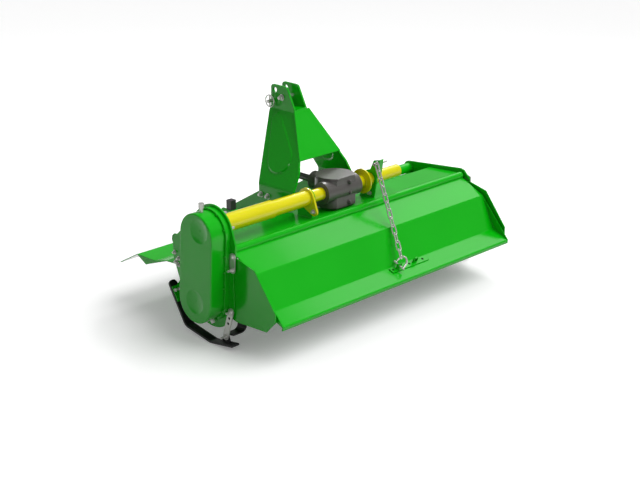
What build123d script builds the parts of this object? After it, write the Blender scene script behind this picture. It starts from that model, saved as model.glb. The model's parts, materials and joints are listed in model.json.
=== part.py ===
from build123d import *
from math import acos, atan2, cos, degrees, hypot, radians, sin, sqrt, tan
import os

# Rotary tiller for a tractor's three-point hitch, in millimetres. Machine coordinates: x to the
# right as the driver sees it, y forward to the tractor, z up from the floor. x = 0 lies midway
# between the end plates and y = 0 under the drive tube. The planes side(), across() and level()
# move all of it so that the origin lies on the floor under the middle of the whole machine.

# Overall sizes and clearances
width = 1650.0            # over the two end plates
plate_t = 8.0             # end plates
shaft_gap = 0.3           # between a shaft, pin or barrel and what carries it
edge_margin = 4.0         # between a piece's edge and the larger one that it lies on
flap_end_gap = 9.0        # between the flap's ends and the wing plates
mid_x = -25.0             # gearbox, mast and input shaft, a little left of the middle

# Axes that run along x, as (y, z)
drive_axis = (-5.0, 570.0)
rotor_axis = (37.0, 222.0)
front_tube_axis = (292.0, 428.0)
hinge_axis = (-77.0, 467.0)

# Rotor
tip_radius = 210.0
rotor_tube_radius = 44.0
rotor_tube_gap = 25.0     # from the tube's ends to the end plates
stub_radius = 20.0
stub_reach = 24.0         # past the end plates' outer faces
stub_hole_radius = 46.0
bearing_flange = (66.0, 12.0)
bearing_reach = 34.0      # from the right end plate to the closed hub's end
bearing_edge = 6.0
bearing_floor = 3.0       # inside the closed hub, past the stub's end
flange_count = 7
blade_end_gap = 47.0      # from the outer blades' leg ends to the end plates
flange_radius = 94.0
flange_t = 8.0
flange_twist = 17.0       # turn from one flange to the next, degrees
blade_count = 6           # on each flange, half of them on each face
blade_t = 7.0
blade_reach = 80.0        # from the flange's middle to the end of a blade's leg
blade_bend = 26.0         # outer radius of the bend between shank and leg
blade_root = 50.0         # from the rotor's axis to a blade's inner end
blade_root_w = 44.0
leg_start = 8.0           # the leg's two edges lie this far behind the root, degrees
leg_end = 27.0
leg_normal = 22.0         # the leg's face looks this way, so that its rear edge is relieved
leg_radius = 203.0
lead_at = (143.0, -16.0)  # points that a blade's two curved edges pass through
trail_at = (130.0, 37.0)

# Drive case on the left end plate
case_flange_t = 27.0
case_top = (18.0, 538.0)
case_foot = (38.0, 226.0)
case_flange_radius = 117.0
case_cover_t = 78.0
case_cover_radius = 108.0
case_edge = 6.0
dimple_radius = 58.0
dimple_depth = 10.0
plug_neck = (8.0, 20.0)
plug_cap = (13.0, 22.0)
drain_angle = -131.0      # where the drain plug leaves the case's lower round, degrees
drain_plug_size = (9.0, 16.0)

# End plates
hump_radius = 128.0       # round the drive case's upper end, on the left plate
small_hump = 37.0         # round the front tube, on the right plate
lobe_radius = 150.0       # round the rotor's axis
front_lead = 16.0         # from the front tube's axis to the plates' front edge
plate_front_low = 345.0
plate_slope = 68.0        # the edge below that, degrees from the floor
ear_root_z = 238.0        # where the ear for the skid's leg leaves that edge
pad_z = (140.0, 205.0)    # the pad between the ear and the leg
plate_rear_z = 420.0
left_ear = ((-128.0, 453.0), (-128.0, 505.0))
right_ear = ((-66.0, 499.0), (-87.0, 494.0), (-119.0, 461.0), (-128.0, 450.0))
pad_t = 8.0
pad_w = 40.0

# Wing plates and straps on the sides
wing_t = 5.0
wing_points = ((-60, 440), (-135, 442), (-242, 416), (-373, 248), (-374, 206), (-315, 144), (-119, 135),
               (-60, 150))
strap_t = 6.0
wing_strap = ((-112.0, 452.0), (-110.0, 388.0))
wing_strap_radius = 16.5
skid_strap = ((-93.0, 181.0), (-54.0, 48.0))
skid_strap_radius = 17.0
skid_lug_t = 6.0

# Skids: a flat bar, bent, a little outside the end plates
skid_out = 12.0           # from an end plate's middle to its skid's middle
skid_w = 46.0
skid_t = 10.0
skid_bend = 45.0
skid_low = (26.0, 0.0)
skid_tail = (-125.0, 22.0)
skid_knee = (203.0, 31.0)
leg_slope = 58.0
leg_top = 222.0
leg_round = 0.45          # the rounding of the leg's top end, as a share of its width

# Deck, front guard and flap
deck_t = 6.0
deck_rear_gap = 5.0       # from the deck to the flap's barrel
deck_rear_z = 471.0
deck_crest = (142.0, 457.0)
deck_shoulder = (262.0, 397.0)
deck_front = (287.0, 304.0)
deck_bend = 20.0
guard_t = 4.0
guard_flange = 45.0
guard_bend = 10.0
guard_points = ((372.0, 300.0), (459.0, 276.0), (593.0, 275.0), (729.0, 199.0))
guard_gusset = ((372.0, 300.0), (459.0, 276.0), (593.0, 275.0), (530.0, 241.0))
flap_t = 5.0
barrel_radius = 19.0
hinge_rod_radius = 12.0
flap_root = 213.0         # where the sheet leaves the barrel, degrees
flap_bend = 8.0
flap_points = ((-231.0, 392.0), (-315.0, 231.0), (-407.0, 190.0), (-404.0, 172.0))

# Tubes between the end plates, the gearbox and their brackets
front_tube_radius = 27.0
drive_tube_radius = 38.0
tube_sleeve_radius = 42.5
tube_sleeve_x = -490.0    # right end of the sleeve on the drive tube
tube_end_radius = 31.0    # next to the gearbox, and the support tube
tube_flange_x = -262.0
tube_flange_t = 10.0
tube_flange_radius = 50.0
tube_bolt = (-55.0, 514.0)
tube_bolt_edge = 22.0
support_end_x = 383.0
support_flange_x = 122.0
support_flange_radius = 62.0
bracket_t = 8.0
chain_bracket_x = 182.0
chain_bracket_top = ((-70.0, 677.0), (-30.0, 668.0))
chain_tab = (22.0, 6.0, 585.0)  # width, thickness and lower end of the tab on its rear edge
bracket_foot = (-32.0, 62.0)

# Gearbox and input
gearbox_radius = 99.0
gearbox_y = 25.0
gearbox_rear_y = -50.0
gearbox_z = (487.0, 626.0)
gearbox_x = -33.0         # the casting's round body, a little left of its input shaft
gearbox_hubs = (126.0, 105.0)  # from there to its left and right hub's end
hub_radius = 54.0
cover_t = 10.0
cover_edge = 3.0
neck_radius = 46.0
neck_y = (70.0, 178.0)
shaft_radius = 17.45      # 1 3/8 inch power take-off
shaft_y = (135.0, 300.0)
spline_count = 6
spline_depth = 2.6
spline_length = 76.0
shaft_seat = 5.0          # free depth behind the shaft in its bore

# Mast
mast_t = 10.0
mast_half_top = 38.0      # from the mast's middle to a plate's middle
mast_half_foot = 207.0
mast_bend_z = 893.0
mast_fold_z = 558.0
mast_bend = 40.0
mast_foot_z = 470.0
mast_front = ((349, mast_foot_z), (350, 552), (444, 888), (435, 914))
mast_crown = ((434, 1019), (325, 1019))
mast_rear = ((268, 908), (139, 698), (116, 650), (110, 600), (110, mast_foot_z))
mast_corner = 16.0
press_circles = ((373.0, 850.0, 34.0), (268.0, 688.0, 80.0))  # the pressed panel's two ends: y, z, radius
press_depth = 5.0
press_run = 7.0           # width of its sloping border
top_link = (406.0, 993.0)
top_link_radius = 12.9
spacer_at = (357.0, 962.0)
spacer_radius = 11.0
back_plate_t = 6.0
back_plate_over = 8.0     # past the mast plates' outer faces at its top
back_lip = (62.0, 6.0)    # depth and thickness of the level lip at its top

# Lower hitch
hitch_t = 12.0
hitch_eye = (545.0, 364.0)
hitch_eye_radius = 38.0
hitch_bolts = ((285.0, 508.0), (334.0, 508.0))
hitch_bolt_edge = 22.0
hitch_tube_edge = 35.0
hitch_pin_radius = 11.0   # category 1
hitch_pin_free = 85.0     # free length outside its bracket
hitch_collar = (19.0, 8.0)

# Parking stand
stand_x = -425.0
stand_y = 346.0
stand_size = 33.0
stand_top = 520.0
stand_wall = 6.0
stand_sleeve_z = (396.0, 472.0)
stand_weld = 12.0         # the sleeve's longer side, towards the front tube
stand_foot = (80.0, 6.0)
stand_foot_corner = 8.0
guard_hole = 48.0

# Chain that holds the flap, its hook pin on the chain bracket and its shackle on the flap
chain_wire = 8.0
chain_width = 29.0
chain_pitch = 42.0        # nearest pitch; the links fit the distance between their two ends
hook_pin_radius = 5.0
hook_pin_reach = (27.0, 52.0)  # to the left of its bracket, where the chain hangs, and right
hook_pin_head = (9.0, 4.0)
hook_drop = (11.0, -19.0)
hook_play = 6.0           # between the chain's last link and the bracket
shackle_wire = 11.0
shackle_bow = 24.0        # radius of the bow, to the middle of the wire
shackle_leg = 24.0
flap_bar_x = (-20.0, 244.0)
flap_bar_w = 34.0
flap_bar_t = 5.0
flap_bar_corner = 5.0
flap_lug_x = 31.0
flap_lug = (30.0, 34.0, 8.0)
flap_lug_run = 22.0       # from the flap's last fold up to the lug's middle
flap_lug_eye = 20.0       # height of the shackle's pin over the flap

half = width / 2
inner_x = half - plate_t
plate_mid_x = half - plate_t / 2
skid_mid_x = plate_mid_x + skid_out
case_outer_x = half + case_flange_t + case_cover_t
plate_front_y = front_tube_axis[0] + front_lead

# The origin: on the floor under the middle of the machine's outline
shift_x = (case_outer_x - (skid_mid_x + skid_w / 2)) / 2
shift_y = -(guard_points[-1][0] + flap_points[2][0]) / 2


def place(x, y, z):
    """A point of the machine in the part's own frame."""
    return Vector(x + shift_x, y + shift_y, z)


def side(x):
    """Upright plane across the machine at x, drawn in (y, z), facing right."""
    return Plane(origin=place(x, 0, 0), x_dir=(0, 1, 0), z_dir=(1, 0, 0))


def across(y):
    """Upright plane along the machine's width at y, drawn in (x, z), facing back."""
    return Plane(origin=place(0, y, 0), x_dir=(1, 0, 0), z_dir=(0, -1, 0))


def level(z):
    """Level plane at z, drawn in (x, y), facing up."""
    return Plane(origin=place(0, 0, z), x_dir=(1, 0, 0), z_dir=(0, 0, 1))


def polar(centre, radius, angle):
    """Point on a circle round a centre, the angle in degrees from the first axis."""
    return (centre[0] + radius * cos(radians(angle)), centre[1] + radius * sin(radians(angle)))


def tangent_angle(point, centre, radius, turn):
    """Angle at which the line from a point touches a circle; turn is 1 or -1 for its two sides."""
    run, rise = point[0] - centre[0], point[1] - centre[1]
    return degrees(atan2(rise, run)) + turn * degrees(acos(radius / hypot(run, rise)))


def bent_strip(points, thickness, bend):
    """Outline of a bent sheet: one face's points, filleted, thickened to the left of their run."""
    with BuildLine() as strip:
        FilletPolyline(*points, radius=bend)
        offset(amount=thickness, side=Side.LEFT)
    make_face(strip.edges())


def round_bar(ends, radius):
    """Outline of a flat bar with round ends at two points."""
    with Locations(*ends):
        Circle(radius)
    make_hull()


def save(piece, name):
    """Name a finished piece and write its file."""
    piece.part.label = name
    export_step(piece.part, f"parts/{name}.step")


os.makedirs("parts", exist_ok=True)
hands = (("left", -1), ("right", 1))

# End plates. Both share the rear edge, the round lobe under the rotor's axis and the front lower
# edge, from which an ear reaches out to the pad behind the skid's leg.
slope_foot = (plate_front_y, sum(case_top) + hump_radius * sqrt(2) - plate_front_y)
rear_edge_y = rotor_axis[0] - lobe_radius
leg_outward = (sin(radians(leg_slope)), -cos(radians(leg_slope)))


def leg_line(z, depth):
    """Point at height z on the line that lies a depth behind the leg's front face."""
    run = (z - skid_knee[1]) / tan(radians(leg_slope)) - depth / sin(radians(leg_slope))
    return (skid_knee[0] + run, z)


ear_root = (plate_front_y - (plate_front_low - ear_root_z) / tan(radians(plate_slope)), ear_root_z)
ear_low, ear_high = (leg_line(z, skid_t + pad_t) for z in pad_z)
lobe_front = tangent_angle(ear_low, rotor_axis, lobe_radius, -1)


def plate_foot():
    """The lower outline that both end plates share, from the rear edge round to the front corner."""
    lobe_end = polar(rotor_axis, lobe_radius, lobe_front)
    Line((rear_edge_y, plate_rear_z), (rear_edge_y, rotor_axis[1]))
    ThreePointArc((rear_edge_y, rotor_axis[1]), polar(rotor_axis, lobe_radius, -110), lobe_end)
    Polyline(lobe_end, ear_low, ear_high, ear_root, (plate_front_y, plate_front_low))


def plate_holes():
    """Holes for the rotor's stub and the hinge rod."""
    with BuildSketch(side(0)) as holes:
        with Locations(rotor_axis):
            Circle(stub_hole_radius)
        with Locations(hinge_axis):
            Circle(hinge_rod_radius)
    return holes.sketch


def leg_pad(sign):
    """The pad on the ear's front edge, seen from the side."""
    front = [(p[0] + pad_t * leg_outward[0], p[1] + pad_t * leg_outward[1]) for p in (ear_high, ear_low)]
    with BuildSketch(side(sign * skid_mid_x)) as pad:
        Polygon(ear_low, ear_high, *front, align=None)
    return pad.sketch


with BuildPart() as end_plate_left:
    with BuildSketch(side(-half)):
        with BuildLine():
            hump_front = polar(case_top, hump_radius, 45)
            hump_rear = polar(case_top, hump_radius, tangent_angle(left_ear[1], case_top, hump_radius, -1))
            Polyline((plate_front_y, plate_front_low), slope_foot, hump_front)
            ThreePointArc(hump_front, polar(case_top, hump_radius, 95), hump_rear)
            Polyline(hump_rear, left_ear[1], left_ear[0], (rear_edge_y, plate_rear_z))
            plate_foot()
        make_face()
    extrude(amount=plate_t)
    extrude(plate_holes(), amount=width, both=True, mode=Mode.SUBTRACT)
    extrude(leg_pad(-1), amount=pad_w / 2, both=True)
save(end_plate_left, "end_plate_left")

with BuildPart() as end_plate_right:
    with BuildSketch(side(inner_x)):
        with BuildLine():
            run_in = front_tube_axis[1] - sqrt(small_hump**2 - front_lead**2)
            hump_turn = tangent_angle(right_ear[0], front_tube_axis, small_hump, -1)
            hump_end = polar(front_tube_axis, small_hump, hump_turn)
            Line((plate_front_y, plate_front_low), (plate_front_y, run_in))
            ThreePointArc((plate_front_y, run_in), polar(front_tube_axis, small_hump, 15), hump_end)
            Polyline(hump_end, *right_ear, (rear_edge_y, plate_rear_z))
            plate_foot()
        make_face()
    extrude(amount=plate_t)
    extrude(plate_holes(), amount=width, both=True, mode=Mode.SUBTRACT)
    extrude(leg_pad(1), amount=pad_w / 2, both=True)
save(end_plate_right, "end_plate_right")

# Wing plates behind the end plates, and the two flat straps on each side
for hand, sign in hands:
    with BuildPart() as wing_plate:
        with BuildSketch(side(sign * (inner_x - wing_t / 2))):
            Polygon(*wing_points, align=None)
        extrude(amount=wing_t / 2, both=True)
    save(wing_plate, f"wing_plate_{hand}")

    with BuildPart() as strap:
        with BuildSketch(side(sign * (half + strap_t / 2))):
            round_bar(wing_strap, wing_strap_radius)
        extrude(amount=strap_t / 2, both=True)
    save(strap, f"wing_strap_{hand}")

    with BuildPart() as strap:
        with BuildSketch(side(sign * (half + strap_t / 2))):
            round_bar(skid_strap, skid_strap_radius)
        extrude(amount=strap_t / 2, both=True)
    save(strap, f"skid_strap_{hand}")

# Skids: from the raised tail along the floor and up the leg, whose top lies on the end plate's pad.
# An upright lug near the tail takes the strap.
skid_rise = (skid_tail[1] - skid_low[1]) / (skid_low[0] - skid_tail[0])
lug_seat = (skid_strap[1][0], skid_low[1] + (skid_low[0] - skid_strap[1][0]) * skid_rise + skid_t)
for hand, sign in hands:
    with BuildPart() as skid:
        with BuildSketch(side(sign * skid_mid_x)):
            bent_strip((skid_tail, skid_low, skid_knee, leg_line(leg_top, 0)), skid_t, skid_bend)
        extrude(amount=skid_w / 2, both=True)
        top_end = skid.faces().sort_by(Axis.Z)[-1]
        fillet(top_end.edges().filter_by(Axis.X, reverse=True), radius=skid_w * leg_round)
        with BuildSketch(side(sign * (half - skid_lug_t / 2))):
            with Locations(skid_strap[1]):
                Circle(skid_strap_radius)
            with Locations(lug_seat):
                Rectangle(3 * skid_strap_radius, skid_t)
            make_hull()
        extrude(amount=skid_lug_t / 2, both=True)
    save(skid, f"skid_{hand}")

# Drive case: a flange plate on the left end plate and a pressed oblong cover with a dimple
# over each of its two shafts
case_run = (case_foot[0] - case_top[0], case_foot[1] - case_top[1])
case_mid = (case_top[0] + case_run[0] / 2, case_top[1] + case_run[1] / 2)
case_turn = degrees(atan2(case_run[1], case_run[0]))
with BuildPart() as case_flange:
    with BuildSketch(side(-half)):
        with Locations(case_mid):
            SlotCenterToCenter(hypot(*case_run), 2 * case_flange_radius, rotation=case_turn)
    extrude(amount=-case_flange_t)
    with BuildSketch(side(-half)):
        with Locations(rotor_axis):
            Circle(stub_radius + shaft_gap)
    extrude(amount=-case_flange_t, mode=Mode.SUBTRACT)
save(case_flange, "drive_case_flange")

dimple_sphere = (dimple_radius**2 + dimple_depth**2) / (2 * dimple_depth)
with BuildPart() as case_cover:
    with BuildSketch(side(-half - case_flange_t)):
        with Locations(case_mid):
            SlotCenterToCenter(hypot(*case_run), 2 * case_cover_radius, rotation=case_turn)
    extrude(amount=-case_cover_t)
    fillet(case_cover.faces().sort_by(Axis.X)[0].edges(), radius=case_edge)
    for centre in (drive_axis, rotor_axis):
        with Locations(place(-case_outer_x - dimple_sphere + dimple_depth, *centre)):
            Sphere(dimple_sphere, rotation=(0, 90, 0), mode=Mode.SUBTRACT)
save(case_cover, "drive_case_cover")

# The filler plug stands on the case's top, and the drain plug leaves its lower round
plug_x = -half - case_flange_t - case_cover_t / 2
with BuildPart() as oil_plug:
    for height, (radius, length) in ((0, plug_neck), (plug_neck[1], plug_cap)):
        with BuildSketch(level(case_top[1] + case_cover_radius + height)):
            with Locations((plug_x, case_top[0])):
                Circle(radius)
        extrude(amount=length)
save(oil_plug, "oil_plug")

with BuildPart() as drain_plug:
    drain_at = polar(case_foot, case_cover_radius, drain_angle)
    drain_out = (0, cos(radians(drain_angle)), sin(radians(drain_angle)))
    with BuildSketch(Plane(origin=place(plug_x, *drain_at), x_dir=(1, 0, 0), z_dir=drain_out)):
        Circle(drain_plug_size[0])
    extrude(amount=drain_plug_size[1])
save(drain_plug, "drain_plug")

# Rotor bearing on the right end plate: a round flange and a closed hub
with BuildPart() as rotor_bearing:
    with BuildSketch(side(half)):
        with Locations(rotor_axis):
            Circle(bearing_flange[0])
    extrude(amount=bearing_flange[1])
    with BuildSketch(side(half)):
        with Locations(rotor_axis):
            Circle(stub_hole_radius - edge_margin)
    extrude(amount=bearing_reach)
    fillet(rotor_bearing.faces().sort_by(Axis.X)[-1].edges(), radius=bearing_edge)
    with BuildSketch(side(half)):
        with Locations(rotor_axis):
            Circle(stub_radius + shaft_gap)
    extrude(amount=stub_reach + bearing_floor, mode=Mode.SUBTRACT)
save(rotor_bearing, "rotor_bearing")

# Deck: one bent sheet from the flap's hinge forward over the rotor and down to the guard
with BuildPart() as deck:
    with BuildSketch(side(-inner_x)):
        deck_rear = (hinge_axis[0] + barrel_radius + deck_rear_gap, deck_rear_z)
        bent_strip((deck_rear, deck_crest, deck_shoulder, deck_front), deck_t, deck_bend)
    extrude(amount=2 * inner_x)
save(deck, "deck")

# Front guard: a flange on the deck's front wall, then a bent sheet out over the rotor's front,
# with a triangular gusset under each end
wall_run = (deck_front[0] - deck_shoulder[0], deck_front[1] - deck_shoulder[1])
wall_unit = (wall_run[0] / hypot(*wall_run), wall_run[1] / hypot(*wall_run))
guard_root = (deck_front[0] - deck_t * wall_unit[1], deck_front[1] + deck_t * wall_unit[0])
guard_top = (guard_root[0] - guard_flange * wall_unit[0], guard_root[1] - guard_flange * wall_unit[1])
with BuildPart() as front_guard:
    with BuildSketch(side(-inner_x)):
        bent_strip((guard_top, guard_root, *guard_points), guard_t, guard_bend)
    extrude(amount=2 * inner_x)
    for end_x in (-inner_x, inner_x - guard_t):
        with BuildSketch(side(end_x)):
            Polygon(*guard_gusset, align=None)
        extrude(amount=guard_t)
    with BuildSketch(level(0)):
        with Locations((stand_x, stand_y)):
            Rectangle(guard_hole, guard_hole)
    extrude(amount=stand_top, mode=Mode.SUBTRACT)
save(front_guard, "front_guard")

# Cross tubes: the front tube and the hinge rod between the end plates
with BuildPart() as front_tube:
    with BuildSketch(side(-inner_x)):
        with Locations(front_tube_axis):
            Circle(front_tube_radius)
    extrude(amount=2 * inner_x)
save(front_tube, "front_tube")

with BuildPart() as hinge_rod:
    with BuildSketch(side(-half)):
        with Locations(hinge_axis):
            Circle(hinge_rod_radius)
    extrude(amount=width)
save(hinge_rod, "hinge_rod")

# Drive tube from the left end plate to the gearbox, thicker in a sleeve at its left end and
# thinner past its bolted flange, and the shorter support tube on the gearbox's right
hub_left_x = gearbox_x - gearbox_hubs[0]
hub_right_x = gearbox_x + gearbox_hubs[1]
tube_stages = ((tube_sleeve_x, tube_sleeve_radius), (tube_flange_x + tube_flange_t, drive_tube_radius),
               (hub_left_x, tube_end_radius))
with BuildPart() as drive_tube:
    for end_x, radius in tube_stages:
        with BuildSketch(side(-inner_x)):
            with Locations(drive_axis):
                Circle(radius)
        extrude(amount=end_x + inner_x)
save(drive_tube, "drive_tube")

with BuildPart() as support_tube:
    with BuildSketch(side(hub_right_x)):
        with Locations(drive_axis):
            Circle(tube_end_radius)
    extrude(amount=support_end_x - hub_right_x)
save(support_tube, "support_tube")

with BuildPart() as drive_tube_flange:
    with BuildSketch(side(tube_flange_x)):
        with Locations(drive_axis):
            Circle(tube_flange_radius)
        with Locations(tube_bolt):
            Circle(tube_bolt_edge)
        make_hull()
        with Locations(drive_axis):
            Circle(drive_tube_radius, mode=Mode.SUBTRACT)
    extrude(amount=tube_flange_t)
save(drive_tube_flange, "drive_tube_flange")

with BuildPart() as support_flange:
    with BuildSketch(side(support_flange_x)):
        with Locations(drive_axis):
            Circle(support_flange_radius)
            Circle(tube_end_radius, mode=Mode.SUBTRACT)
    extrude(amount=tube_flange_t)
save(support_flange, "support_tube_flange")

# Upright brackets that carry the tube on the deck. The right one is taller and carries the
# chain's hook pin on a flange along its rear edge.
crest_run = (deck_crest[0] - deck_rear[0], deck_crest[1] - deck_rear[1])


def deck_top(y):
    """Height of the deck's upper face over its rear panel."""
    return deck_rear[1] + (y - deck_rear[0]) * crest_run[1] / crest_run[0] + deck_t * hypot(*crest_run) / crest_run[0]


bracket_seat = [(y, deck_top(y)) for y in bracket_foot]
with BuildPart() as tube_bracket:
    with BuildSketch(side(tube_flange_x + tube_flange_t)):
        Polygon(*bracket_seat, (bracket_foot[1], drive_axis[1]), (bracket_foot[0], drive_axis[1]), align=None)
        with Locations(drive_axis):
            Circle(tube_flange_radius - edge_margin)
        make_hull()
        with Locations(drive_axis):
            Circle(tube_end_radius, mode=Mode.SUBTRACT)
    extrude(amount=bracket_t)
save(tube_bracket, "tube_bracket")

hook_at = (chain_bracket_top[0][0] + hook_drop[0], chain_bracket_top[0][1] + hook_drop[1])
tab_top, tab_foot = chain_bracket_top[0], bracket_seat[0]
tab_low = (tab_top[0] + (tab_foot[0] - tab_top[0]) * (tab_top[1] - chain_tab[2]) / (tab_top[1] - tab_foot[1]),
           chain_tab[2])
with BuildPart() as chain_bracket:
    with BuildSketch(side(chain_bracket_x)):
        Polygon(*bracket_seat, *reversed(chain_bracket_top), align=None)
        with Locations(drive_axis):
            Circle(tube_flange_radius - edge_margin)
        with Locations(drive_axis):
            Circle(tube_end_radius, mode=Mode.SUBTRACT)
    extrude(amount=bracket_t)
    with BuildSketch(side(chain_bracket_x + bracket_t)):
        Polygon(tab_low, tab_top, (tab_top[0] + chain_tab[1], tab_top[1]), (tab_low[0] + chain_tab[1], tab_low[1]),
                align=None)
    extrude(amount=chain_tab[0])
    with BuildSketch(side(chain_bracket_x)):
        with Locations(hook_at):
            Circle(hook_pin_radius + shaft_gap)
    extrude(amount=bracket_t + chain_tab[0], mode=Mode.SUBTRACT)
save(chain_bracket, "chain_bracket")

with BuildPart() as hook_pin:
    with BuildSketch(side(chain_bracket_x - hook_pin_reach[0])):
        with Locations(hook_at):
            Circle(hook_pin_radius)
    extrude(amount=sum(hook_pin_reach) + bracket_t)
    with BuildSketch(side(chain_bracket_x - hook_pin_reach[0])):
        with Locations(hook_at):
            Circle(hook_pin_head[0])
    extrude(amount=hook_pin_head[1])
save(hook_pin, "chain_hook_pin")

# Gearbox: a round cast housing with a flat rear face, hubs for the tubes and a neck for the
# input shaft; a cover plate on top
with BuildPart() as gearbox:
    with BuildSketch(level(gearbox_z[0])):
        with Locations((gearbox_x, gearbox_y)):
            Circle(gearbox_radius)
        with Locations((gearbox_x, gearbox_rear_y + gearbox_radius)):
            Rectangle(2 * gearbox_radius, 2 * gearbox_radius, mode=Mode.INTERSECT)
    extrude(amount=gearbox_z[1] - gearbox_z[0])
    with BuildSketch(side(hub_left_x)):
        with Locations(drive_axis):
            Circle(hub_radius)
    extrude(amount=sum(gearbox_hubs))
    with BuildSketch(across(neck_y[0])):
        with Locations((mid_x, drive_axis[1])):
            Circle(neck_radius)
    extrude(amount=neck_y[0] - neck_y[1])
    with BuildSketch(across(shaft_y[0] - shaft_seat)):
        with Locations((mid_x, drive_axis[1])):
            Circle(shaft_radius + shaft_gap)
    extrude(amount=shaft_y[0] - shaft_seat - neck_y[1], mode=Mode.SUBTRACT)
save(gearbox, "gearbox_housing")

with BuildPart() as gearbox_cover:
    with BuildSketch(level(gearbox_z[1])):
        with Locations((gearbox_x, gearbox_y)):
            Circle(gearbox_radius - edge_margin)
        with Locations((gearbox_x, gearbox_rear_y + gearbox_radius)):
            Rectangle(2 * gearbox_radius, 2 * gearbox_radius, mode=Mode.INTERSECT)
    extrude(amount=cover_t)
    fillet(gearbox_cover.faces().sort_by(Axis.Z)[-1].edges(), radius=cover_edge)
save(gearbox_cover, "gearbox_cover")

# Input shaft with its splines
with BuildPart() as input_shaft:
    with BuildSketch(across(shaft_y[0])):
        with Locations((mid_x, drive_axis[1])):
            Circle(shaft_radius)
    extrude(amount=shaft_y[0] - shaft_y[1])
    with BuildSketch(across(shaft_y[1])):
        with Locations((mid_x, drive_axis[1])):
            with PolarLocations(shaft_radius, spline_count):
                Rectangle(2 * spline_depth, shaft_radius / 2)
    extrude(amount=spline_length, mode=Mode.SUBTRACT)
save(input_shaft, "input_shaft")

# Mast: two bent plates that meet the top link at the top and splay out to the lower hitch,
# a plate across their backs and a spacer between them. The lower hitch brackets lie against the
# inner faces of their feet.
mast_points = (*mast_front, *mast_crown, *mast_rear)
mast_depth = mast_front[2][0] - mast_rear[-1][0]
lean_run = (mast_half_foot - mast_half_top, mast_bend_z - mast_fold_z)
lean = (lean_run[0] / hypot(*lean_run), lean_run[1] / hypot(*lean_run))
for hand, sign in hands:
    with BuildPart() as mast_plate:
        with BuildSketch(across(mast_rear[-1][0])):
            run = [(mid_x + sign * (spread - mast_t / 2), z) for spread, z in (
                (mast_half_top, mast_crown[0][1]), (mast_half_top, mast_bend_z),
                (mast_half_foot, mast_fold_z), (mast_half_foot, mast_foot_z))]
            bent_strip(run[::sign], mast_t, mast_bend)
        extrude(amount=-mast_depth)
        with BuildSketch(side(mid_x)) as mast_outline:
            Polygon(*mast_points, align=None)
            top_corners = mast_outline.vertices().group_by(Axis.Z)[-1]
            fillet(top_corners, radius=mast_corner)
        extrude(amount=sign * 2 * mast_half_foot, mode=Mode.INTERSECT)
        with BuildSketch(side(mid_x)):
            with Locations(top_link):
                Circle(top_link_radius)
        extrude(amount=sign * 2 * mast_half_foot, mode=Mode.SUBTRACT)
        # the pressed panel: hollow on the inner face and raised by as much on the outer one
        for depth, mode in ((0, Mode.SUBTRACT), (mast_t, Mode.ADD)):
            foot = place(mid_x + sign * (mast_half_foot - mast_t / 2), 0, mast_fold_z)
            outward = Vector(sign * lean[1], 0, lean[0])
            for rise, inset in ((0, 0), (press_depth, press_run)):
                with BuildSketch(Plane(foot + outward * (depth + rise), (0, sign, 0), outward)):
                    for y, z, radius in press_circles:
                        with Locations((sign * y, (z - mast_fold_z) / lean[1])):
                            Circle(radius - inset)
                    make_hull()
            loft(ruled=True, mode=mode)
    save(mast_plate, f"mast_plate_{hand}")

    hitch_inner_x = mid_x + sign * (mast_half_foot - mast_t / 2 - hitch_t)
    with BuildPart() as hitch_bracket:
        with BuildSketch(side(hitch_inner_x)):
            with Locations(hitch_eye):
                Circle(hitch_eye_radius)
            with Locations(*hitch_bolts):
                Circle(hitch_bolt_edge)
            with Locations(front_tube_axis):
                Circle(hitch_tube_edge)
            make_hull()
            with Locations(front_tube_axis):
                Circle(front_tube_radius, mode=Mode.SUBTRACT)
            with Locations(hitch_eye):
                Circle(hitch_pin_radius, mode=Mode.SUBTRACT)
        extrude(amount=sign * hitch_t)
    save(hitch_bracket, f"hitch_bracket_{hand}")

    with BuildPart() as hitch_pin:
        with BuildSketch(side(hitch_inner_x)):
            with Locations(hitch_eye):
                Circle(hitch_pin_radius)
        extrude(amount=sign * (hitch_t + hitch_pin_free))
        for collar_x in (hitch_inner_x - sign * hitch_collar[1], hitch_inner_x + sign * hitch_t):
            with BuildSketch(side(collar_x)):
                with Locations(hitch_eye):
                    Circle(hitch_collar[0])
            extrude(amount=sign * hitch_collar[1])
    save(hitch_pin, f"hitch_pin_{hand}")

back_high, back_low = mast_rear[:2]
back_run = (back_high[0] - back_low[0], back_high[1] - back_low[1])
back_unit = (back_run[0] / hypot(*back_run), back_run[1] / hypot(*back_run))
splay = (mast_half_foot - mast_half_top) / (mast_bend_z - mast_fold_z)
spacer_half = mast_half_top - mast_t / 2
with BuildPart() as mast_back_plate:
    back_plane = Plane(origin=place(mid_x, *back_low), x_dir=(1, 0, 0), z_dir=(0, -back_unit[1], back_unit[0]))
    low_half = mast_half_top + (mast_bend_z - back_low[1]) * splay + mast_t / 2
    high_half = mast_half_top + mast_t / 2 + back_plate_over
    with BuildSketch(back_plane):
        Polygon((-low_half, 0), (low_half, 0), (high_half, hypot(*back_run)), (-high_half, hypot(*back_run)),
                align=None)
    extrude(amount=back_plate_t)
    lip_y = back_high[0] - back_unit[1] * back_plate_t
    with BuildSketch(level(back_high[1])):
        with Locations((mid_x, lip_y + back_lip[0] / 2)):
            Rectangle(2 * spacer_half, back_lip[0])
    extrude(amount=back_lip[1])
save(mast_back_plate, "mast_back_plate")

with BuildPart() as mast_spacer:
    with BuildSketch(side(mid_x)):
        with Locations(spacer_at):
            Circle(spacer_radius)
    extrude(amount=spacer_half, both=True)
save(mast_spacer, "mast_spacer")

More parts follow.
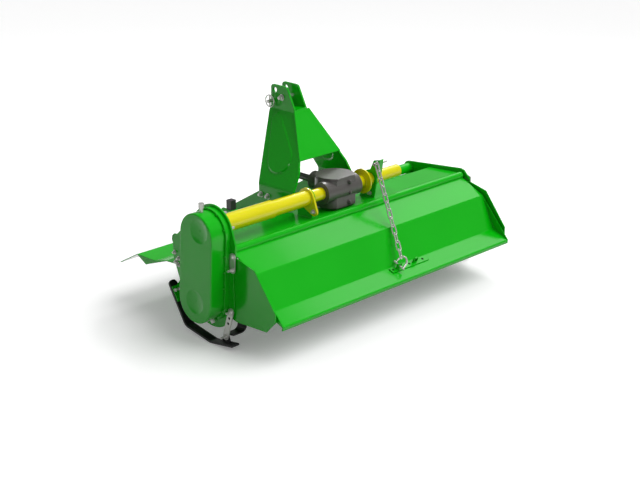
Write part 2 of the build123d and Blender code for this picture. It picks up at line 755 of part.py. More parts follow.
# Parking stand: a square tube in a sleeve that is welded to the front tube
with BuildPart() as stand_sleeve:
    with BuildSketch(level(stand_sleeve_z[0])):
        with Locations((stand_x, stand_y - stand_weld / 2)):
            Rectangle(stand_size + 2 * stand_wall, stand_size + 2 * stand_wall + stand_weld)
        with Locations((stand_x, stand_y)):
            Rectangle(stand_size + 2 * shaft_gap, stand_size + 2 * shaft_gap, mode=Mode.SUBTRACT)
    extrude(amount=stand_sleeve_z[1] - stand_sleeve_z[0])
    with BuildSketch(side(stand_x)):
        with Locations(front_tube_axis):
            Circle(front_tube_radius)
    extrude(amount=stand_size * 2, both=True, mode=Mode.SUBTRACT)
save(stand_sleeve, "stand_sleeve")

with BuildPart() as stand_leg:
    with BuildSketch(level(0)):
        with Locations((stand_x, stand_y)):
            Rectangle(stand_size, stand_size)
    extrude(amount=stand_top)
    with BuildSketch(level(0)):
        with Locations((stand_x, stand_y)):
            RectangleRounded(stand_foot[0], stand_foot[0], stand_foot_corner)
    extrude(amount=stand_foot[1])
save(stand_leg, "stand_leg")

# Flap: a barrel round the hinge rod, a sheet bent twice, and a gusset in each end's fold
flap_half = inner_x - wing_t - flap_end_gap
with BuildPart() as flap:
    with BuildSketch(side(-flap_half)):
        with Locations(hinge_axis):
            Circle(barrel_radius)
        bent_strip((polar(hinge_axis, barrel_radius - flap_t / 2, flap_root), *flap_points), flap_t, flap_bend)
        with Locations(hinge_axis):
            Circle(hinge_rod_radius + shaft_gap, mode=Mode.SUBTRACT)
    extrude(amount=2 * flap_half)
    for end_x in (-flap_half, flap_half - flap_t):
        with BuildSketch(side(end_x)):
            Polygon(*flap_points[:3], align=None)
        extrude(amount=flap_t)
save(flap, "flap")

# The shackle's bar on the flap's last panel, with an upright lug that its pin goes through
fold, edge = flap_points[1], flap_points[2]
panel = Vector(0, edge[0] - fold[0], edge[1] - fold[1]).normalized()
panel_up = Vector(0, panel.Z, -panel.Y) if panel.Y < 0 else Vector(0, -panel.Z, panel.Y)
lug_foot_at = place(flap_lug_x, *fold) + panel * flap_lug_run
bar_plane = Plane(origin=lug_foot_at, x_dir=(1, 0, 0), z_dir=panel_up)
pin_at = lug_foot_at + panel_up * flap_lug_eye
with BuildPart() as flap_bar:
    with BuildSketch(bar_plane):
        with Locations(((flap_bar_x[0] + flap_bar_x[1]) / 2 - flap_lug_x, 0)):
            RectangleRounded(flap_bar_x[1] - flap_bar_x[0], flap_bar_w, flap_bar_corner)
    extrude(amount=flap_bar_t)
    with BuildSketch(bar_plane):
        Rectangle(flap_lug[0], flap_lug[2])
    extrude(amount=flap_lug[1])
    with BuildSketch(Plane(origin=pin_at, x_dir=(1, 0, 0), z_dir=panel)):
        Circle(shackle_wire / 2 + shaft_gap)
    extrude(amount=flap_lug[2], both=True, mode=Mode.SUBTRACT)
save(flap_bar, "flap_chain_bar")

# Shackle: its pin along the panel's slope, its bow turned up to the chain. The chain's line runs
# from the middle of the bow to the hook pin.
hook_middle = place(chain_bracket_x - chain_wire / 2 - hook_play, *hook_at)
pull = (hook_middle - pin_at) - panel * (hook_middle - pin_at).dot(panel)
bow_axis = pull.normalized()
bow_centre = pin_at + bow_axis * shackle_leg
line = (hook_middle - bow_centre).normalized()
with BuildPart() as shackle:
    bow_plane = Plane(origin=pin_at, x_dir=panel, z_dir=panel.cross(bow_axis))
    with BuildLine(bow_plane) as bow:
        Line((-shackle_bow, 0), (-shackle_bow, shackle_leg))
        ThreePointArc((-shackle_bow, shackle_leg), (0, shackle_leg + shackle_bow), (shackle_bow, shackle_leg))
        Line((shackle_bow, shackle_leg), (shackle_bow, 0))
    with BuildSketch(Plane(origin=pin_at - panel * shackle_bow, z_dir=bow_axis)):
        Circle(shackle_wire / 2)
    sweep(path=bow.wire())
    with BuildSketch(Plane(origin=pin_at, z_dir=panel)):
        Circle(shackle_wire / 2)
    extrude(amount=shackle_bow + shackle_wire, both=True)
save(shackle, "shackle")

# Chain: equal links between the shackle's bow and the hook pin. Each link is turned a quarter
# from the last, with a little more to bring the first and last square to what they hold.
span = (hook_middle - bow_centre).length - shackle_bow
link_count = round(span / chain_pitch)
end_play = shackle_wire / 2 + hook_pin_radius + 2 * shaft_gap
pitch = (span + end_play + (link_count - 1) * shaft_gap) / link_count
first_normal = line.cross(panel.cross(bow_axis)).normalized()
last_normal = Vector(1, 0, 0) - line * line.X
quarter = first_normal.get_signed_angle(last_normal, line)
whole_turns = 90 * (link_count - 1)
extra = ((quarter - whole_turns + 90) % 180 - 90) / (link_count - 1)
link_radius = (chain_width - chain_wire) / 2
link_straight = pitch + chain_wire - 2 * link_radius

with BuildPart() as one_link:
    with BuildLine() as link_path:
        end, bulge = link_straight / 2, link_straight / 2 + link_radius
        Line((-end, link_radius), (end, link_radius))
        ThreePointArc((end, link_radius), (bulge, 0), (end, -link_radius))
        Line((end, -link_radius), (-end, -link_radius))
        ThreePointArc((-end, -link_radius), (-bulge, 0), (-end, link_radius))
    with BuildSketch(Plane(origin=(0, link_radius, 0), z_dir=(1, 0, 0))):
        Circle(chain_wire / 2)
    sweep(path=link_path.wire())

with BuildPart() as chain:
    for index in range(link_count):
        first_along = shackle_bow - shackle_wire / 2 - shaft_gap + pitch / 2
        centre = bow_centre + line * (first_along + index * (pitch - shaft_gap))
        normal = first_normal.rotate(Axis((0, 0, 0), line), index * (90 + extra))
        with Locations(Plane(origin=centre, x_dir=line, z_dir=normal).location):
            add(one_link.part)
save(chain, "chain")

# Rotor. It turns so that its lowest blades move back. A blade is an L-shaped strip, its leg
# turned to the side, trimmed by an outline that trails its root and ends on the tip circle. It is
# drawn with the rotor's axis along z and its root along x, then set round each flange in turn,
# on both faces.
blade_base = flange_t / 2
leg_x, leg_y = cos(radians(leg_normal)), sin(radians(leg_normal))
with BuildPart() as blade:
    with BuildSketch(Plane(origin=(0, 0, 0), x_dir=(leg_x, leg_y, 0), z_dir=(leg_y, -leg_x, 0))):
        bent_strip(((leg_radius, -blade_reach), (leg_radius, -blade_base), (0, -blade_base)), blade_t, blade_bend)
    extrude(amount=tip_radius, both=True)
    with BuildSketch():
        with BuildLine():
            root_lead, root_trail = (blade_root, -blade_root_w / 2), (blade_root, blade_root_w / 2)
            tip_lead, tip_trail = polar((0, 0), tip_radius, leg_start), polar((0, 0), tip_radius, leg_end)
            ThreePointArc(root_lead, lead_at, tip_lead)
            ThreePointArc(tip_lead, polar((0, 0), tip_radius, (leg_start + leg_end) / 2), tip_trail)
            ThreePointArc(tip_trail, trail_at, root_trail)
            Line(root_trail, root_lead)
        make_face()
    extrude(amount=2 * blade_reach, both=True, mode=Mode.INTERSECT)

with BuildPart() as flange_set:
    Cylinder(flange_radius, flange_t)
    with PolarLocations(0, blade_count // 2):
        add(blade.part)
    with PolarLocations(0, blade_count // 2, start_angle=180 / (blade_count // 2)):
        add(mirror(blade.part, about=Plane.XY, mode=Mode.PRIVATE))

rotor_end = inner_x - rotor_tube_gap
flange_pitch = 2 * (inner_x - blade_end_gap - blade_reach) / (flange_count - 1)
with BuildPart() as rotor:
    with BuildSketch(side(-rotor_end)):
        with Locations(rotor_axis):
            Circle(rotor_tube_radius)
    extrude(amount=2 * rotor_end)
    with BuildSketch(side(-half - stub_reach)):
        with Locations(rotor_axis):
            Circle(stub_radius)
    extrude(amount=width + 2 * stub_reach)
    for index in range(flange_count):
        flange_x = (index - (flange_count - 1) / 2) * flange_pitch
        with Locations((side(flange_x) * Location((*rotor_axis, 0), (0, 0, index * flange_twist)))):
            add(flange_set.part)
save(rotor, "rotor")

print("shift", shift_x, shift_y, "links", link_count, "pitch", round(pitch, 2), "extra turn", round(extra, 2))
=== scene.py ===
import json
from math import atan2, cos, degrees, radians, sin

import bmesh
import bpy
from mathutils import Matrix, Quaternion, Vector


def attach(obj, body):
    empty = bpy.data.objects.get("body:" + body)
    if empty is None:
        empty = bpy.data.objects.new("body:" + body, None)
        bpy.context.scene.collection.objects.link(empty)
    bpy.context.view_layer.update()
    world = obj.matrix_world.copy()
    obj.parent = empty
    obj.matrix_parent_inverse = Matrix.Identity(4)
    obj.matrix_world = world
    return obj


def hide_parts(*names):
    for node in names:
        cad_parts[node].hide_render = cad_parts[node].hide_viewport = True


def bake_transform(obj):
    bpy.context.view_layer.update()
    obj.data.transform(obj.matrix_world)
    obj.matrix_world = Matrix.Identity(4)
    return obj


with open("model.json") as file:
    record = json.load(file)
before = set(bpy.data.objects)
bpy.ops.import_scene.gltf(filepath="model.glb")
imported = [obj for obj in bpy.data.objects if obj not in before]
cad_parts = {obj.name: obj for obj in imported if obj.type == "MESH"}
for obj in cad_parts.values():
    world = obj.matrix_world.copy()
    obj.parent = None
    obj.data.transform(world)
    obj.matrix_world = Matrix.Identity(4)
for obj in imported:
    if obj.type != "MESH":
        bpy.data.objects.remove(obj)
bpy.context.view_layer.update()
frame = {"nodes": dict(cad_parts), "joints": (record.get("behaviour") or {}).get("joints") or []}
scene = bpy.context.scene
scene.view_settings.view_transform = "Standard"


# Studio
# The machine stands on a white, faintly glossy floor. A broad soft lamp behind its right side lights
# the flap and the mast's back, one ahead fills in, and three panels give the sheen and bright edges.
def feed(target, value):
    """Link a field to a socket, or set a plain value on it."""
    if isinstance(value, Field):
        value.tree.links.new(value.socket, target)
    else:
        target.default_value = value


class Field:
    """One socket of a node tree, on which node maths is written as Python expressions."""

    def __init__(self, tree, socket=None):
        self.tree, self.socket = tree, socket

    def node(self, kind, output, inputs, **settings):
        """A new node of any kind: its settings first, then its sockets' values or links."""
        made = self.tree.nodes.new(kind)
        for name, value in settings.items():
            setattr(made, name, value)
        for key, value in inputs.items():
            feed(made.inputs[key], value)
        return Field(self.tree, made.outputs[output])

    def math(self, operation, *values):
        return self.node("ShaderNodeMath", 0, dict(enumerate(values)), operation=operation)

    def __add__(self, other):
        return self.math("ADD", self, other)

    def __radd__(self, other):
        return self.math("ADD", other, self)

    def __sub__(self, other):
        return self.math("SUBTRACT", self, other)

    def __rsub__(self, other):
        return self.math("SUBTRACT", other, self)

    def __mul__(self, other):
        return self.math("MULTIPLY", self, other)

    def __rmul__(self, other):
        return self.math("MULTIPLY", other, self)

    def up_to_one(self):
        return self.math("MINIMUM", self, 1.0)

    def between(self, low, high):
        """0 below low, 1 above high and a straight run from one to the other."""
        return self.node("ShaderNodeMapRange", 0, {0: self, 1: low, 2: high})

    def blend(self, first, second):
        """Colour mixed from first to second by this field. A Mix node's colours are sockets 6 and 7."""
        return self.node("ShaderNodeMix", 2, {0: self, 6: first, 7: second}, data_type="RGBA")


def rays_in(tree):
    """Fields that are 1 for the camera's rays, for mirrored ones and for those through glass."""
    path = tree.nodes.new("ShaderNodeLightPath")
    return [Field(tree, path.outputs[f"Is {kind} Ray"]) for kind in ("Camera", "Glossy", "Transmission")]


def grey(value):
    """An even grey, as a shader's colour."""
    return (value, value, value, 1.0)


def finish_of(name):
    """A new material with its shader, and a field to start its nodes from."""
    material = bpy.data.materials.new(name)
    material.use_nodes = True
    return material, material.node_tree.nodes["Principled BSDF"], Field(material.node_tree)


def set_shader(shader, **values):
    """Values and links for the shader's sockets, whose names are written with underscores."""
    for name, value in values.items():
        feed(shader.inputs[name.replace("_", " ")], value)


ambient_light, glossy_share = 0.12, 0.2
world = bpy.data.worlds.new("studio_world")
scene.world = world
world.use_nodes = True
camera_ray, glossy_ray, clear_ray = rays_in(world.node_tree)
world_shown = (camera_ray + clear_ray + glossy_ray * glossy_share).up_to_one()
background = world.node_tree.nodes["Background"]
feed(background.inputs["Color"], grey(1.0))
feed(background.inputs["Strength"], ambient_light + world_shown * (1.0 - ambient_light))

floor_reach, floor_bounce, floor_colour, floor_glow = 60.0, 0.31, 0.87, 0.20
floor_corners = [(x * floor_reach, y * floor_reach, 0) for x, y in ((-1, -1), (1, -1), (1, 1), (-1, 1))]
floor_mesh = bpy.data.meshes.new("studio_floor")
floor_mesh.from_pydata(floor_corners, [], [(0, 1, 2, 3)])
floor = bpy.data.objects.new("studio_floor", floor_mesh)
scene.collection.objects.link(floor)
floor_white, floor_shader, floor_start = finish_of("floor_white")
camera_ray, glossy_ray, clear_ray = rays_in(floor_start.tree)
floor_shown = (camera_ray + glossy_ray + clear_ray).up_to_one()
set_shader(floor_shader, Base_Color=floor_shown.blend(grey(floor_bounce), grey(floor_colour)),
           Emission_Color=floor_shown.blend(grey(0.0), grey(floor_glow)), Emission_Strength=1.0,
           Roughness=0.3, Specular_IOR_Level=0.25)
floor_mesh.materials.append(floor_white)


def hang_lamp(name, kind, spot, power, **shape):
    """A lamp at a spot in metres, turned to the middle of the floor under the machine."""
    light = bpy.data.lights.new(name, kind)
    light.energy = power
    for setting, value in shape.items():
        setattr(light, setting, value)
    lamp = bpy.data.objects.new(name, light)
    lamp.location = spot
    lamp.rotation_euler = Vector(spot).to_track_quat("Z", "Y").to_euler()
    scene.collection.objects.link(lamp)
    return lamp


for name, spot, power, spread in (("lamp_rear", (0.42, -0.50, 0.80), 3.05, 60),
                                  ("lamp_front", (0.0, 0.90, 0.80), 0.80, 110)):
    hang_lamp(name, "SUN", spot, power, angle=radians(spread)).visible_glossy = False
for name, spot, power, side in (("panel_right", (4.3, 1.0, 3.9), 42.0, 2.8),
                                ("panel_small", (3.3, 2.3, 3.2), 55.0, 0.8),
                                ("panel_left", (-4.4, -2.4, 1.3), 16.0, 0.9)):
    hang_lamp(name, "AREA", spot, power, size=side)

camera_spot, camera_down, camera_turn = (-4.6582, -4.6567, 2.6315), 19.799, -45.234
camera_data = bpy.data.cameras.new("camera")
camera_data.sensor_width = 36.0
camera_data.lens = 78.75
camera = bpy.data.objects.new("camera", camera_data)
camera.location = camera_spot
camera.rotation_euler = (radians(90.0 - camera_down), 0.0, radians(camera_turn))
scene.collection.objects.link(camera)
scene.camera = camera


# Rotor
# A steel tube with seven flanges and six L-shaped blades bolted to each, three on either face. All
# of it is dipped in black paint, and two bolts with nuts hold every blade's shank.
def noise(start, scale, detail=2.0):
    """Noise on the object's own coordinates, about 0.5 on average."""
    where = start.node("ShaderNodeTexCoord", "Object", {})
    return start.node("ShaderNodeTexNoise", 0, {"Vector": where, "Scale": scale, "Detail": detail})


def paint(name, colour, rough, shade=0.9, edge=1.5, peel=0.02, gloss=0.2, metal=0.0, grain=900.0):
    """Sprayed paint or plating: tone and gloss that drift a little, a fine skin, and soft edges.

    The edge is the radius in millimetres to which corners look worn."""
    cloud_scale, cloud_detail, cloud_low, cloud_high = 2.3, 3.0, 0.35, 0.65
    rough_drift, skin_depth = 0.04, 0.001
    material, shader, start = finish_of(name)
    cloud = noise(start, cloud_scale, cloud_detail).between(cloud_low, cloud_high)
    dark = tuple(channel * shade for channel in colour)
    bevelled = start.node("ShaderNodeBevel", 0, {"Radius": edge / 1000}, samples=4)
    skin = start.node("ShaderNodeBump", 0, {"Height": noise(start, grain), "Strength": peel,
                                            "Distance": skin_depth, "Normal": bevelled})
    set_shader(shader, Base_Color=cloud.blend((*dark, 1), (*colour, 1)),
               Roughness=rough - rough_drift + cloud * (2 * rough_drift),
               Specular_IOR_Level=gloss, Metallic=metal, Normal=skin)
    return material


def dress(finish, *nodes):
    """Give CAD nodes a finish in place of the plain one they were packed with."""
    for node in nodes:
        mesh = frame["nodes"][node].data
        mesh.materials.clear()
        mesh.materials.append(finish)


rotor_axis = (37.0, 222.0)
rotor_joint = next(joint for joint in frame["joints"] if joint["name"] == "rotor_spin")
machine_middle = Vector(rotor_joint["pos_m"]) - Vector((0.0, *rotor_axis)) / 1000


def place(x, y, z):
    """A point in the frame's metres, measured in millimetres from the machine's own middle.

    x runs to the right, y forward from under the drive tube and z up from the floor."""
    return machine_middle + Vector((x, y, z)) / 1000


def polar(middle, radius, angle):
    """Point (y, z) at an angle in degrees from the +y axis, round a middle (y, z)."""
    return (middle[0] + radius * cos(radians(angle)), middle[1] + radius * sin(radians(angle)))


def on_face(x, look, points):
    """Spots for fasteners at points (y, z) of an upright face at x that looks left, -1, or right, 1."""
    return [((x, *point), (look, 0, 0)) for point in points]


def new_tree(name, **sizes):
    """An empty Geometry Nodes tree, and a field for its mesh, each size in millimetres and the finish."""
    tree = bpy.data.node_groups.new(name, "GeometryNodeTree")
    for way in ("OUTPUT", "INPUT"):
        tree.interface.new_socket("Geometry", in_out=way, socket_type="NodeSocketGeometry")
    for label, size in sizes.items():
        socket = tree.interface.new_socket(label, in_out="INPUT", socket_type="NodeSocketFloat")
        socket.default_value = size / 1000
    tree.interface.new_socket("Finish", in_out="INPUT", socket_type="NodeSocketMaterial")
    given = tree.nodes.new("NodeGroupInput")
    fields = {label: Field(tree, given.outputs[label]) for label in ("Geometry", *sizes, "Finish")}
    return Field(tree), fields


def close_tree(shape, finish):
    """End a tree: instances made real, and the finish set on them."""
    real = shape.node("GeometryNodeRealizeInstances", 0, {"Geometry": shape})
    done = shape.node("GeometryNodeSetMaterial", 0, {"Geometry": real, "Material": finish})
    feed(shape.tree.nodes.new("NodeGroupOutput").inputs[0], done)


def raised(shape, height):
    """The shape moved up its own z axis."""
    lift = shape.node("ShaderNodeCombineXYZ", 0, {"Z": height})
    return shape.node("GeometryNodeTransform", 0, {"Geometry": shape, "Translation": lift})


def bar(start, sides, radius, height, foot):
    """An upright bar, round or with flats, whose foot is at a level."""
    shape = start.node("GeometryNodeMeshCylinder", 0, {"Vertices": sides, "Radius": radius, "Depth": height})
    return raised(shape, foot + height * 0.5)


def joined(start, *shapes):
    """Several shapes as one."""
    join = start.tree.nodes.new("GeometryNodeJoinGeometry")
    for shape in shapes:
        start.tree.links.new(shape.socket, join.inputs[0])
    return Field(start.tree, join.outputs[0])


def carried(start, name):
    """The field of a vector that the mesh's points carry under a name."""
    return start.node("GeometryNodeInputNamedAttribute", 0, {"Name": name}, data_type="FLOAT_VECTOR")


def set_on_axes(start, points, shape):
    """The shape on every point, its z axis along the point's own axis."""
    turn = start.node("FunctionNodeAlignRotationToVector", 0, {"Vector": carried(start, "axis")}, axis="Z")
    return start.node("GeometryNodeInstanceOnPoints", 0, {"Points": points, "Instance": shape,
                                                          "Rotation": turn})


def grown(name, mesh, tree, finish, **sizes):
    """A tree's result on a mesh as a plain object, its inputs set by their identifiers."""
    given = {label: size / 1000 for label, size in sizes.items()}
    given["Finish"] = finish
    piece = bpy.data.objects.new(name, mesh)
    scene.collection.objects.link(piece)
    maker = piece.modifiers.new("maker", "NODES")
    maker.node_group = tree
    for socket in tree.interface.items_tree:
        if socket.in_out == "INPUT" and socket.name in given:
            maker[socket.identifier] = given[socket.name]
    depsgraph = bpy.context.evaluated_depsgraph_get()
    result = bpy.data.meshes.new_from_object(piece.evaluated_get(depsgraph), depsgraph=depsgraph)
    piece.modifiers.remove(maker)
    piece.data = result
    result.name = name
    return piece


# a hexagon head or nut on a washer, with the thread's end over it
washer_sides, thread_sides, head_sides = 24, 14, 6
crown_width, crown_height = 0.84, 0.2
start, size = new_tree("hexagon_bolt", Head=8, Height=6, Washer=10, Thin=2, Thread=5, Stub=4)
head_top = size["Thin"] + size["Height"]
washer = bar(start, washer_sides, size["Washer"], size["Thin"], 0.0)
flats = bar(start, head_sides, size["Head"], size["Height"], size["Thin"])
crown = start.node("GeometryNodeMeshCone", 0, {"Vertices": head_sides, "Radius Bottom": size["Head"],
                                               "Radius Top": size["Head"] * crown_width,
                                               "Depth": size["Height"] * crown_height})
thread = bar(start, thread_sides, size["Thread"], size["Height"] + size["Stub"],
             size["Thin"] + size["Height"] * 0.5)
bolt = joined(start, washer, flats, raised(crown, head_top), thread)
close_tree(set_on_axes(start, size["Geometry"], bolt), size["Finish"])
hexagon_bolt = start.tree


def fastened(name, body, slot, finish, tree, spots, **sizes):
    """One piece of like fasteners: each spot is a point in millimetres and the way its head looks."""
    mesh = bpy.data.meshes.new(name)
    mesh.from_pydata([place(*point) for point, axis in spots], [], [])
    looks = mesh.attributes.new("axis", "FLOAT_VECTOR", "POINT")
    for index, (point, axis) in enumerate(spots):
        looks.data[index].vector = axis
    piece = grown(name, mesh, tree, finish, **sizes)
    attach(piece, body)


black_paint = paint("black_paint", (0.014, 0.014, 0.015), 0.34, gloss=0.35)
dress(black_paint, "rotor")
flange_count, flange_step, flange_twist, flange_t = 7, 230.0, 17.0, 8.0
blade_count, blade_t, shank_holes = 6, 7.0, (61.0, 83.0)
blade_spots = []
for index in range(flange_count):
    flange_mid = (index - (flange_count - 1) / 2) * flange_step
    for blade in range(blade_count):
        face = 1 if blade % 2 else -1
        angle = index * flange_twist + blade * 360 / blade_count
        holes = [polar(rotor_axis, radius, angle) for radius in shank_holes]
        blade_spots += on_face(flange_mid + face * (flange_t / 2 + blade_t), face, holes)
        blade_spots += on_face(flange_mid - face * flange_t / 2, -face, holes)
fastened("blade_bolts", "rotor", "black_paint", black_paint, hexagon_bolt, blade_spots,
         Head=9.5, Height=7.5, Washer=11.5, Thread=6, Stub=4)


# End plates, deck and front guard
# The housing is steel sheet between two thick side plates, joined by a round tube at the front, and
# sprayed in glossy green after welding. Bolts through the side plates hold the front guard's ends.
green_paint = paint("green_paint", (0.002, 0.450, 0.004), 0.15, shade=0.94, edge=3.8, gloss=0.36)
zinc_plate = paint("zinc_plate", (0.56, 0.56, 0.53), 0.30, metal=0.6, peel=0.04, edge=1.0, gloss=0.5)
dress(green_paint, "end_plate_left", "end_plate_right", "wing_plate_left", "wing_plate_right", "deck",
      "front_guard", "front_tube", "hinge_rod")
hands = (-1, 1)
half, plate_t, deck_half = 825.0, 8.0, 812.0
inner_x = half - plate_t
front_tube_axis, front_tube_radius = (292.0, 428.0), 27.0
deck_seam = (268.0, 403.0)
mid_x = -25.0     # mast, gearbox and input shaft, a little left of the middle
hitch_in = 190.0  # from there to the lower hitch brackets' inner faces
guard_holes = ((296, 368), (268, 344), (286, 324), (270, 312))


def on_both_sides(out, points, middle=0.0):
    """Spots at points (y, z) on two faces that look out, left and right of a middle."""
    return [spot for hand in hands for spot in on_face(middle + hand * out, hand, points)]


fastened("guard_bolts", "frame", "zinc", zinc_plate, hexagon_bolt, on_both_sides(half, guard_holes),
         Head=8.5, Height=6.5, Washer=11, Thread=5, Stub=3)

# a weld seam: overlapping beads along a line
bead_small, bead_large = 0.85, 1.1
start, size = new_tree("weld_seam", Bead=3, Step=3)
line = start.node("GeometryNodeMeshToCurve", 0, {"Mesh": size["Geometry"]})
stations = start.node("GeometryNodeResampleCurve", 0, {"Curve": line, "Length": size["Step"]}, mode="LENGTH")
bead = start.node("GeometryNodeMeshIcoSphere", 0, {"Radius": size["Bead"], "Subdivisions": 2})
uneven = start.node("FunctionNodeRandomValue", 1, {2: bead_small, 3: bead_large, "Seed": 7},
                    data_type="FLOAT")
seam = start.node("GeometryNodeInstanceOnPoints", 0, {"Points": stations, "Instance": bead, "Scale": uneven})
seam = start.node("GeometryNodeSetShadeSmooth", 0, {"Geometry": seam})
close_tree(seam, size["Finish"])
weld_seam = start.tree


def welded(name, body, finish, lines, bead=3.0):
    """One piece of weld seams along lines of points in millimetres; each bead laps the last."""
    bead_step = 1.1
    points, edges = [], []
    for run in lines:
        first = len(points)
        points += [place(*point) for point in run]
        edges += [(first + step, first + step + 1) for step in range(len(run) - 1)]
    mesh = bpy.data.meshes.new(name)
    mesh.from_pydata(points, edges, [])
    piece = grown(name, mesh, weld_seam, finish, Bead=bead, Step=bead * bead_step)
    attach(piece, body)


def ring_line(x, middle, radius, steps=40):
    """Points once round a middle (y, z), at x, the last on the first."""
    return [(x, *polar(middle, radius, step * 360 / steps)) for step in range(steps + 1)]


def tube_seam(x, axis, radius):
    """The line of a weld seam round a tube, a little off the tube's skin."""
    seam_out = 1.0
    return ring_line(x, axis, radius + seam_out)


tube_ends = [hand * inner_x for hand in hands] + [mid_x + hand * hitch_in for hand in hands]
welded("frame_welds", "frame", green_paint,
       [tube_seam(x, front_tube_axis, front_tube_radius) for x in tube_ends])
welded("deck_weld", "frame", green_paint, [[(hand * deck_half, *deck_seam) for hand in hands]],
       bead=6.0)


# Drive case
# A deep pressed cover over the gear train, on a flange that is screwed through the left side plate
# all round. A plated filler plug stands on top and a drain plug leaves the bottom.
dress(green_paint, "drive_case_cover", "drive_case_flange")
dress(zinc_plate, "oil_plug", "drain_plug")
case_top, case_foot, case_flange_t, case_hole_radius = (18.0, 538.0), (38.0, 226.0), 27.0, 112.5
top_angles, foot_angles, side_angles = (160, 120, 80, 40, 4), (200, 240, 280, 320, 364), (3.7, 183.7)
case_holes = [polar(case_top, case_hole_radius, angle) for angle in top_angles]
case_holes += [polar(case_foot, case_hole_radius, angle) for angle in foot_angles]
for share in (0.25, 0.5, 0.75):
    middle = tuple(top + (foot - top) * share for top, foot in zip(case_top, case_foot))
    case_holes += [polar(middle, case_hole_radius, angle) for angle in side_angles]
fastened("case_screws", "frame", "green_paint", green_paint, hexagon_bolt,
         on_face(-half - case_flange_t, -1, case_holes),
         Head=4.8, Height=4, Washer=5.2, Thin=1, Thread=2, Stub=0)
fastened("case_nuts", "frame", "zinc", zinc_plate, hexagon_bolt, on_face(-inner_x, 1, case_holes),
         Head=9.5, Height=8, Washer=12, Thread=6, Stub=8)


# Rotor bearing
# The right end of the rotor runs in a closed cast hub, sprayed green with the housing. Six screws
# hold the hub's flange to the side plate.
dress(green_paint, "rotor_bearing")
hub_flange_t, hub_screw_radius, hub_screws = 12.0, 54.0, range(30, 390, 60)
hub_holes = [polar(rotor_axis, hub_screw_radius, angle) for angle in hub_screws]
fastened("bearing_screws", "frame", "green_paint", green_paint, hexagon_bolt,
         on_face(half + hub_flange_t, 1, hub_holes),
         Head=8, Height=6, Washer=9.5, Thread=4, Stub=0)


# Skids and their straps
# Each skid is a bent flat bar, painted black, bolted to a pad at its front and held at its rear by a
# plated strap with spare holes. A longer strap above joins the side plate to the wing plate.
dress(black_paint, "skid_left", "skid_right")
dress(zinc_plate, "wing_strap_left", "wing_strap_right", "skid_strap_left", "skid_strap_right")
# painted shade: a matte near-black for flat discs that stand in for the shade inside drilled holes
painted_hole_shade = paint("painted_hole_shade", (0.008, 0.009, 0.008), 0.90, gloss=0.0)

# a low domed head, as on a coach bolt, or a flat disc in painted shade that stands for the dark inside of a
# hole
start, size = new_tree("domed_bolt", Head=11, Height=6)
ball = start.node("GeometryNodeMeshUVSphere", 0, {"Segments": 20, "Rings": 10, "Radius": 1.0})
spread = start.node("ShaderNodeCombineXYZ", 0, {"X": size["Head"], "Y": size["Head"], "Z": size["Height"]})
dome = start.node("GeometryNodeTransform", 0, {"Geometry": ball, "Scale": spread})
dome = start.node("GeometryNodeSetShadeSmooth", 0, {"Geometry": dome})
close_tree(set_on_axes(start, size["Geometry"], dome), size["Finish"])
domed_bolt = start.tree
hole_sizes = {"Head": 6.5, "Height": 0.4}

strap_t = 6.0
wing_strap, skid_strap = ((-112, 452), (-110, 388)), ((-93, 181), (-54, 48))
spare_holes = ((-83, 147), (-75, 119))
fastened("strap_bolts", "frame", "zinc", zinc_plate, domed_bolt,
         on_both_sides(half + strap_t, (*wing_strap, *skid_strap)), Head=12, Height=7)
fastened("strap_nuts", "frame", "zinc", zinc_plate, hexagon_bolt,
         on_both_sides(half + strap_t, (wing_strap[1], *skid_strap)),
         Head=8.5, Height=8.5, Washer=9.5, Thread=5.5, Stub=12)
# the straps' spare holes are drawn as flat discs of painted shade
fastened("strap_holes", "frame", "black_paint", painted_hole_shade, domed_bolt,
         on_both_sides(half + strap_t, spare_holes), **hole_sizes)

leg_slope, skid_mid_x, leg_hole_out = 58.0, 833.0, 11.0
leg_front, leg_back = (300.6, 187.0), (279.2, 187.0)
leg_look = (sin(radians(leg_slope)), -cos(radians(leg_slope)))
leg_spots = [((hand * x, *point), (0, *(side * step for step in leg_look)))
             for hand in hands for x in (skid_mid_x - leg_hole_out, skid_mid_x + leg_hole_out)
             for point, side in ((leg_front, 1), (leg_back, -1))]
fastened("leg_bolts", "frame", "zinc", zinc_plate, hexagon_bolt, leg_spots,
         Head=8, Height=6.5, Washer=9.5, Thread=5, Stub=4)


# Drive tube and support tube
# The drive tube carries the shaft from the gearbox to the drive case and is stepped and flanged. It
# and the shorter support tube are sprayed yellow, then bolted to green brackets on the deck.
yellow_paint = paint("yellow_paint", (0.760, 0.690, 0.000), 0.12, shade=0.95, edge=2.0, gloss=0.5)
dress(yellow_paint, "drive_tube", "drive_tube_flange", "support_tube", "support_tube_flange")
dress(green_paint, "tube_bracket", "chain_bracket")
drive_axis, sleeve_radius, tube_radius, end_radius = (-5.0, 570.0), 42.5, 38.0, 31.0
flange_x, support_x, tube_flange_t = -262.0, 122.0, 10.0
bracket_x, bracket_t = 182.0, 8.0
bracket_foot = ((-31, 475.5), (61, 468.9))
flange_hole, bracket_holes = (-55, 514), ((-8, 496), (38, 494))
welded("tube_welds", "frame", yellow_paint,
       [tube_seam(-inner_x, drive_axis, sleeve_radius), tube_seam(flange_x, drive_axis, tube_radius),
        tube_seam(support_x, drive_axis, end_radius),
        tube_seam(support_x + tube_flange_t, drive_axis, end_radius)])
bracket_faces = [left + step for left in (flange_x + tube_flange_t, bracket_x) for step in (0, bracket_t)]
welded("bracket_welds", "frame", green_paint,
       [[(x, *point) for point in bracket_foot] for x in bracket_faces])
tube_spots = on_face(flange_x, -1, [flange_hole]) + on_face(flange_x + tube_flange_t, 1, [flange_hole])
tube_spots += on_face(bracket_x, -1, bracket_holes) + on_face(bracket_x + bracket_t, 1, bracket_holes)
fastened("tube_bolts", "frame", "zinc", zinc_plate, hexagon_bolt, tube_spots,
         Head=9.5, Height=7.5, Washer=12, Thread=6, Stub=3)


